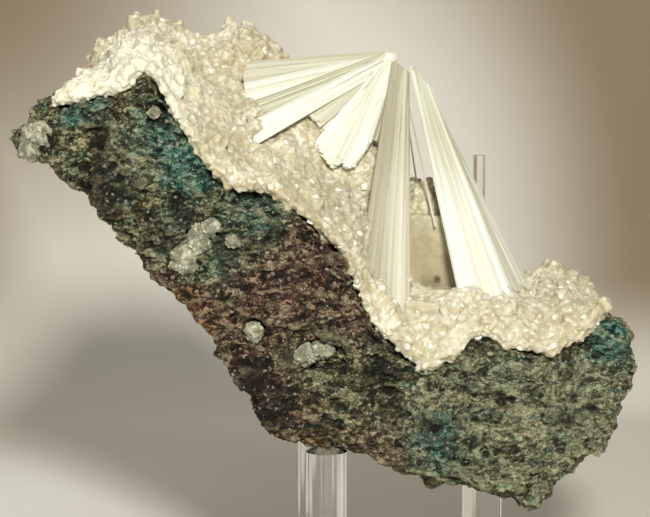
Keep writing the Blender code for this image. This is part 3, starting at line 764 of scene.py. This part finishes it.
spray = {
    "tip": (1.3, 1.5, 129.5),
    "tipSpread": (1.2, 0, -2.3),
    "knob": (0.2, 1.3, 129.3),
    "knobRadius": 1.15 * mm,
    "knobSize": (2.1, 1.2, 1.3),
    "knobTurn": 0.12,
    "knobRelief": (1.2 * mm, 0.8 * mm),  # grain and height
    "knobTone": 0.9,
    "bladeRadii": (0.31, 0.5),  # at the tip and at the far end of a blade one unit wide
    "bladeRings": (0.25, 0.5, 0.75, 0.93),
    # how much the blades of a sheet differ: turn, tone, spacing, depth in mm, width and thickness
    "twist": 0.3,
    "toneRange": (-0.28, 0.22),
    "unevenness": 0.3,
    "startDepth": 0.5,
    "endDepth": 0.45,
    "widthRange": (0.7, 1.25),
    "thickness": (0.5, 0.8),
    "rightTip": (7.4, 0.6, 125.1),
    "rightSpread": (3.8, 0, -4.5),
    "pillarTip": (3.2, 0.6, 127.2),
    "pillarSpread": (3.0, 0, -2.2),
    "white": [
        (((-32.6, 8.5, 127.6), (-32.8, 6.0, 124.6), (-32.6, 4.6, 122.4)), 24, 1.5, 0.02, 0.25, 0.45),
        (((-32.6, 4.4, 122.8), (-32.2, 2.5, 121.0), (-32.4, 0.6, 119.2)), 22, 1.5, 0.02, 0.80, 0.95),
        (((-32.2, -0.5, 118.8), (-30.8, -4.0, 116.6), (-30.0, -7.0, 115.6)), 20, 1.5, 0.04, 0.15, 0.35),
        (((-32.9, -12.0, 114.6), (-31.8, -14.0, 112.4), (-31.2, -16.0, 110.4)), 20, 1.5, 0.04, 1.0, 0.9),
        (((-21.5, -8.0, 118.4), (-18.0, -7.5, 116.4), (-15.5, -7.0, 114.4)), 20, 1.5, 0.08, 0.35, 0.65),
        (((-17.0, -5.0, 112.6), (-11.0, -5.0, 111.0), (-6.0, -5.0, 111.0)), 22, 1.9, 0.03, 0.55, 0.6),
        (((-19.4, -7.0, 109.8), (-17.4, -7.5, 109.3), (-15.8, -8.0, 110.6), (-14.9, -8.0, 108.1),
          (-12.6, -8.5, 105.1), (-11.5, -9.0, 105.9), (-10.4, -9.0, 107.3), (-9.5, -9.0, 104.9),
          (-8.1, -9.0, 105.2), (-5.9, -8.0, 108.3), (-3.8, -6.0, 111.3)), 64, 1.3, 0.012, 0.95, 1.0),
    ],
    "right": [
        (((16.4, -26.4, 77.0), (18.2, -26.4, 76.4), (19.7, -26.0, 77.4), (21.0, -26.0, 76.2),
          (22.4, -25.6, 78.0), (24.2, -25.0, 78.4), (25.6, -24.6, 76.4), (27.6, -23.6, 77.0)),
         50, 1.7, 0.006, 0.95, 0.9),
        (((17.4, -22.0, 76.0), (27.8, -19.4, 75.6)), 22, 2.1, 0.02, 0.45, 0.7),
        (((26.0, -19.0, 76.8), (29.8, -13.0, 77.4)), 12, 1.9, 0.02, 0.35, 0.45),
        (((29.6, -12.0, 77.2), (31.8, 0.0, 76.2), (33.0, 12.0, 75.2)), 16, 1.6, 0.01, 0.9, 1.0),
        (((18.0, -10.0, 78.0), (28.0, 0.0, 76.0)), 14, 2.0, 0.02, 0.5, 0.6),
    ],
    "pillar": [
        (((-6.4, -26.0, 80.4), (-1.2, -27.0, 77.4), (4.0, -27.2, 75.6)), 36, 1.7, 0.01, 0.25, 0.85),
        (((-5.8, -24.0, 80.4), (3.6, -25.0, 76.2)), 16, 2.2, 0.01, 0.3, 0.4),
        (((-4.4, -4.5, 111.2), (-1.2, -4.5, 110.4)), 7, 1.5, 0.01, 0.2, 0.2),
    ],
    "needles": [
        (((10.8, -13.0, 92.0), (11.0, -13.0, 92.0)), 1, 0.55, 0.01, 0.8, 0.8),
        (((8.6, 19.0, 92.6), (8.7, 19.0, 92.6)), 1, 0.6, 0.0, 0.7, 0.7),
    ],
}


def makeBladeKind():
    # one blade a unit long, standing on its thin end, with a map of lines along it
    deselectAll()
    thin, wide = spray["bladeRadii"]
    bpy.ops.mesh.primitive_cone_add(vertices=8, radius1=thin, radius2=wide, depth=1, location=(0, 0, 0.5))
    kind = bpy.context.active_object
    kind.name = "bladeKind"
    bpy.ops.object.transform_apply(location=True, rotation=True, scale=True)
    bpy.ops.object.mode_set(mode="EDIT")
    for height in spray["bladeRings"]:
        bpy.ops.mesh.select_all(action="SELECT")
        bpy.ops.mesh.bisect(plane_co=(0, 0, height), plane_no=(0, 0, 1))
    bpy.ops.object.mode_set(mode="OBJECT")
    lines = kind.data.uv_layers.new(name="along")
    for face in kind.data.polygons:
        for corner in face.loop_indices:
            spot = kind.data.vertices[kind.data.loops[corner].vertex_index].co
            lines.data[corner].uv = (0.5 + spot.x + 0.3 * spot.y, spot.z)
    for extra in [layer.name for layer in kind.data.uv_layers if layer.name != "along"]:
        kind.data.uv_layers.remove(kind.data.uv_layers[extra])
    return kind


def layBlade(kind, start, end, width, thickness, side, tone, picker, finish):
    # one fine blade from start to end
    along = (end - start).normalized()
    side = (side - along * side.dot(along)).normalized()
    side = Matrix.Rotation(picker.uniform(-spray["twist"], spray["twist"]), 3, along) @ side
    over = along.cross(side).normalized()
    shape = Matrix((side * width, over * thickness, end - start)).transposed().to_4x4()
    blade = bpy.data.objects.new("blade", kind.data.copy())
    bpy.context.scene.collection.objects.link(blade)
    blade.data.transform(Matrix.Translation(start) @ shape)
    shift = picker.uniform(0, 9)
    for corner in blade.data.uv_layers["along"].data:
        corner.uv = (corner.uv[0] + shift, corner.uv[1] + shift * 0.37)
    tint = blade.data.attributes.new("tint", "FLOAT", "POINT")
    value = tone + picker.uniform(*spray["toneRange"])
    for item in tint.data:
        item.value = value
    blade.data.materials.append(finish)
    return blade


def pointOn(ends, share):
    # the point at a share of the line of ends
    runs = [(b - a).length for a, b in zip(ends, ends[1:])]
    left = share * sum(runs)
    for a, b, run in zip(ends, ends[1:], runs):
        if left <= run or b is ends[-1]:
            return a.lerp(b, min(left / run, 1.0))
        left -= run


def laySheets(kind, tip, spread, sheets, finish, picker, parts):
    start = Vector(tip) * mm
    spread = Vector(spread) * mm
    uneven, near, far = spray["unevenness"], spray["startDepth"], spray["endDepth"]
    for points, count, width, ragged, firstTone, lastTone in sheets:
        ends = [Vector(p) * mm for p in points]
        side = (ends[-1] - ends[0]).normalized()
        for number in range(count):
            share = (number + 0.5 + picker.uniform(-uneven, uneven)) / count
            end = pointOn(ends, share)
            along = end - start
            over = along.cross(side).normalized()
            first = start + spread * (share - 0.5) + over * picker.uniform(-near, near) * mm
            last = end - along * picker.uniform(0, ragged) + over * picker.uniform(-far, far) * mm
            fine = width * picker.uniform(*spray["widthRange"]) * mm
            tone = firstTone + (lastTone - firstTone) * share
            parts.append(layBlade(kind, first, last, fine, fine * picker.uniform(*spray["thickness"]),
                                  side, tone, picker, finish))


def makeTipKnob():
    # the blunt rounded end where all the blades meet
    deselectAll()
    centre = [c * mm for c in spray["knob"]]
    bpy.ops.mesh.primitive_uv_sphere_add(segments=14, ring_count=8, radius=spray["knobRadius"],
                                         location=centre)
    knob = bpy.context.active_object
    bpy.ops.object.mode_set(mode="EDIT")
    bpy.ops.transform.resize(value=spray["knobSize"])
    bpy.ops.transform.rotate(value=spray["knobTurn"], orient_axis="Y", center_override=centre)
    bpy.ops.object.mode_set(mode="OBJECT")
    bpy.ops.object.transform_apply(location=True, rotation=True, scale=True)
    grain, height = spray["knobRelief"]
    raiseRelief(knob, reliefTexture("knobFaces", "CLOUDS", grain, noise_depth=1), height)
    knob.data.uv_layers[0].name = "along"
    tint = knob.data.attributes.new("tint", "FLOAT", "POINT")
    for item in tint.data:
        item.value = spray["knobTone"]
    knob.data.materials.append(whiteSilk)
    return knob


def makeSpray():
    picker = random.Random(21)
    kind = makeBladeKind()
    parts = []
    laySheets(kind, spray["tip"], spray["tipSpread"], spray["white"], whiteSilk, picker, parts)
    laySheets(kind, spray["rightTip"], spray["rightSpread"], spray["right"], whiteSilk, picker, parts)
    parts.append(makeTipKnob())
    white = joinAll(parts, "whiteBlades")
    parts = []
    laySheets(kind, spray["pillarTip"], spray["pillarSpread"], spray["pillar"], pearlSilk, picker, parts)
    laySheets(kind, spray["pillarTip"], spray["tipSpread"], spray["needles"], pearlSilk, picker, parts)
    pearl = joinAll(parts, "pearlBlades")
    bpy.data.objects.remove(kind)
    for piece in (white, pearl):
        pickOnly(piece)
        bpy.ops.object.shade_smooth_by_angle(angle=math.radians(35))
        setPiece(piece, "silky_white", "thomsonite_spray")


makeSpray()
print("spray done")


# White patches in the broken face

patchShape = {
    "voxel": 0.3 * mm,
    "smoothing": 4,
    # grain, height and middle
    "lumps": (2.1 * mm, 2.4 * mm, 0.24),
    "chips": (1.2 * mm, 0.9 * mm, 0.45),
    "shoulderShare": (0.62, 1.0, 0.62),
}


def makePatches():
    lumpGrain, lumpHeight, lumpMiddle = patchShape["lumps"]
    chipGrain, chipHeight, chipMiddle = patchShape["chips"]
    lumps = reliefTexture("patchLumps", "CLOUDS", lumpGrain, noise_depth=3)
    chips = reliefTexture("patchChips", "CLOUDS", chipGrain, noise_depth=1, noise_basis="VORONOI_F2_F1")
    for name in sorted(n for n in nodes if n.startswith("inclusion_")):
        patch = looseCopy(name, name.replace("inclusion_", "patch_"))
        if name == "inclusion_shoulder":
            middle = sum((vert.co for vert in patch.data.vertices), Vector()) / len(patch.data.vertices)
            bpy.ops.object.mode_set(mode="EDIT")
            bpy.ops.mesh.select_all(action="SELECT")
            bpy.ops.transform.resize(value=patchShape["shoulderShare"], center_override=middle)
            bpy.ops.object.mode_set(mode="OBJECT")
        applyStep(patch, "REMESH", mode="VOXEL", voxel_size=patchShape["voxel"])
        applyStep(patch, "SMOOTH", factor=0.5, iterations=patchShape["smoothing"])
        raiseRelief(patch, lumps, lumpHeight, lumpMiddle)
        raiseRelief(patch, chips, chipHeight, chipMiddle)
        patch.data.materials.append(patchZeolite)
        setPiece(patch, "white_zeolite", name)


makePatches()
print("patches done")


# Clear prism and stand keep their solids

for slot in nodes["clear_prism"].material_slots:
    slot.material = palePrism
for name in ("peg_left_front", "peg_left_back", "peg_right", "stand_base"):
    for slot in nodes[name].material_slots:
        slot.material = clearAcrylic
print("stand done")


# Setting, light and camera

studio = {
    # name, place, aim, size, power and colour
    "lamps": [
        ("keyLight", (0.06, -0.80, 0.48), (0, 0, 0.09), 0.12, 9.6, (1.0, 0.96, 0.88)),
        ("fillLight", (-0.45, -0.7, 0.35), (0, 0, 0.08), 0.4, 0.75, (1.0, 0.96, 0.9)),
        ("wallLight", (-0.02, 0.10, 0.62), (-0.03, 0.29, 0.16), 0.2, 0.7, (1.0, 0.98, 0.92)),
    ],
    "room": (0.62, 0.57, 0.48),
    "roomPower": 0.095,
    "sweep": (0.70, 0.685, 0.63),
    # painted shade on the wall, browner and darker towards its corners
    "corner": (0.235, 0.185, 0.125),
    "darkCornerShade": ((-150, 270, 165), 160),
    # painted pool of light on the floor to the left
    "floorLightPool": ((-115, 115, 0), 100),
    "pale": (0.86, 0.87, 0.86),
    "cornerShadeFrom": ((-0.03, 0, 0.036), (0.055, 0.125)),  # centre, then where it begins and ends
    "floor": (3.0, 1.4),
    "floorDrop": 0.0003,
    "sweepEnd": 0.22,
    "sweepBend": 0.06,
    "wallHeight": 1.2,
}


def makeSweep():
    # a pale floor that curves up into the wall behind
    finish = Finish("paleSweep")
    # painted shade: darker and browner towards the upper corners, where the light falls off
    squeeze = finish.add("ShaderNodeMapping")
    squeeze.inputs["Scale"].default_value = (1, 0, 0.8)
    finish.link(finish.place, squeeze.inputs["Vector"])
    away = finish.add("ShaderNodeVectorMath", operation="DISTANCE")
    finish.link(squeeze.outputs["Vector"], away.inputs[0])
    centre, reach = studio["cornerShadeFrom"]
    away.inputs[1].default_value = centre
    parts = finish.add("ShaderNodeSeparateXYZ")
    finish.link(finish.place, parts.inputs[0])
    edge = finish.maths("MULTIPLY", finish.level(away.outputs["Value"], *reach),
                        finish.level(parts.outputs["Z"], 0.0, 0.04))
    edge = finish.maths("MAXIMUM", edge, finish.near(*studio["darkCornerShade"], 0.75))
    toned = finish.ramp(edge, [(0.0, studio["sweep"]), (1.0, studio["corner"])])
    # painted pool of light on the floor to the left
    finish.colour(finish.mix(finish.near(*studio["floorLightPool"], 0.9), toned, studio["pale"]))
    # clear from behind, so that the object can be looked at from all sides
    sides = finish.add("ShaderNodeNewGeometry")
    clear = finish.add("ShaderNodeBsdfTransparent")
    either = finish.add("ShaderNodeMixShader")
    finish.link(sides.outputs["Backfacing"], either.inputs["Fac"])
    finish.link(finish.shader.outputs["BSDF"], either.inputs[1])
    finish.link(clear.outputs["BSDF"], either.inputs[2])
    finish.link(either.outputs["Shader"], finish.tree.nodes["Material Output"].inputs["Surface"])
    finish.setValues(Roughness=0.85)
    deselectAll()
    bpy.ops.mesh.primitive_plane_add(size=1, location=(0, 0, 0))
    sweep = bpy.context.active_object
    sweep.name = "sweep"
    wide, deep = studio["floor"]
    bpy.ops.transform.resize(value=(wide, deep, 1))
    bpy.ops.transform.translate(value=(0, studio["sweepEnd"] - deep / 2, -studio["floorDrop"]))
    bpy.ops.object.transform_apply(location=True, rotation=True, scale=True)
    bpy.ops.object.mode_set(mode="EDIT")
    bpy.ops.mesh.select_mode(type="EDGE")
    bpy.ops.mesh.select_all(action="DESELECT")
    bpy.ops.object.mode_set(mode="OBJECT")
    for edge in sweep.data.edges:
        edge.select = all(sweep.data.vertices[v].co.y > 0 for v in edge.vertices)
    bpy.ops.object.mode_set(mode="EDIT")
    bpy.ops.mesh.spin(steps=18, angle=math.radians(-90), center=(0, studio["sweepEnd"], studio["sweepBend"]),
                      axis=(1, 0, 0))
    bpy.ops.mesh.extrude_region_move(TRANSFORM_OT_translate={"value": (0, 0, studio["wallHeight"])})
    bpy.ops.mesh.select_all(action="SELECT")
    bpy.ops.mesh.normals_make_consistent(inside=False)
    bpy.ops.object.mode_set(mode="OBJECT")
    if sweep.data.polygons[0].normal.z < 0:
        bpy.ops.object.mode_set(mode="EDIT")
        bpy.ops.mesh.flip_normals()
        bpy.ops.object.mode_set(mode="OBJECT")
    bpy.ops.object.shade_smooth()
    sweep.data.materials.append(finish.material)


def addSoftbox(name, place, aim, size, power, colour):
    data = bpy.data.lights.new(name, "AREA")
    data.shape = "DISK"
    data.size = size
    data.energy = power
    data.color = colour
    lamp = bpy.data.objects.new(name, data)
    lamp.location = place
    lamp.rotation_euler = (Vector(aim) - Vector(place)).to_track_quat("-Z", "Y").to_euler()
    bpy.context.scene.collection.objects.link(lamp)


def makeStudio():
    makeSweep()
    for lamp in studio["lamps"]:
        addSoftbox(*lamp)
    world = bpy.data.worlds.new("softRoom")
    world.use_nodes = True
    background = world.node_tree.nodes["Background"]
    background.inputs["Color"].default_value = (*studio["room"], 1)
    background.inputs["Strength"].default_value = studio["roomPower"]
    bpy.context.scene.world = world
    bpy.context.scene.view_settings.view_transform = "Standard"


view = {"target": (-0.014, 0.0, 0.0834), "distance": 0.6, "rise": 8.0, "widthThere": 0.1495}


def makeCamera():
    data = bpy.data.cameras.new("photoCamera")
    data.sensor_width = 36
    data.lens = data.sensor_width * view["distance"] / view["widthThere"]
    data.clip_start = 0.02
    rise = math.radians(view["rise"])
    camera = bpy.data.objects.new("photoCamera", data)
    target = Vector(view["target"])
    camera.location = target + view["distance"] * Vector((0, -math.cos(rise), math.sin(rise)))
    camera.rotation_euler = (math.pi / 2 - rise, 0, 0)
    bpy.context.scene.collection.objects.link(camera)
    bpy.context.scene.camera = camera


makeStudio()
makeCamera()
print("studio done")
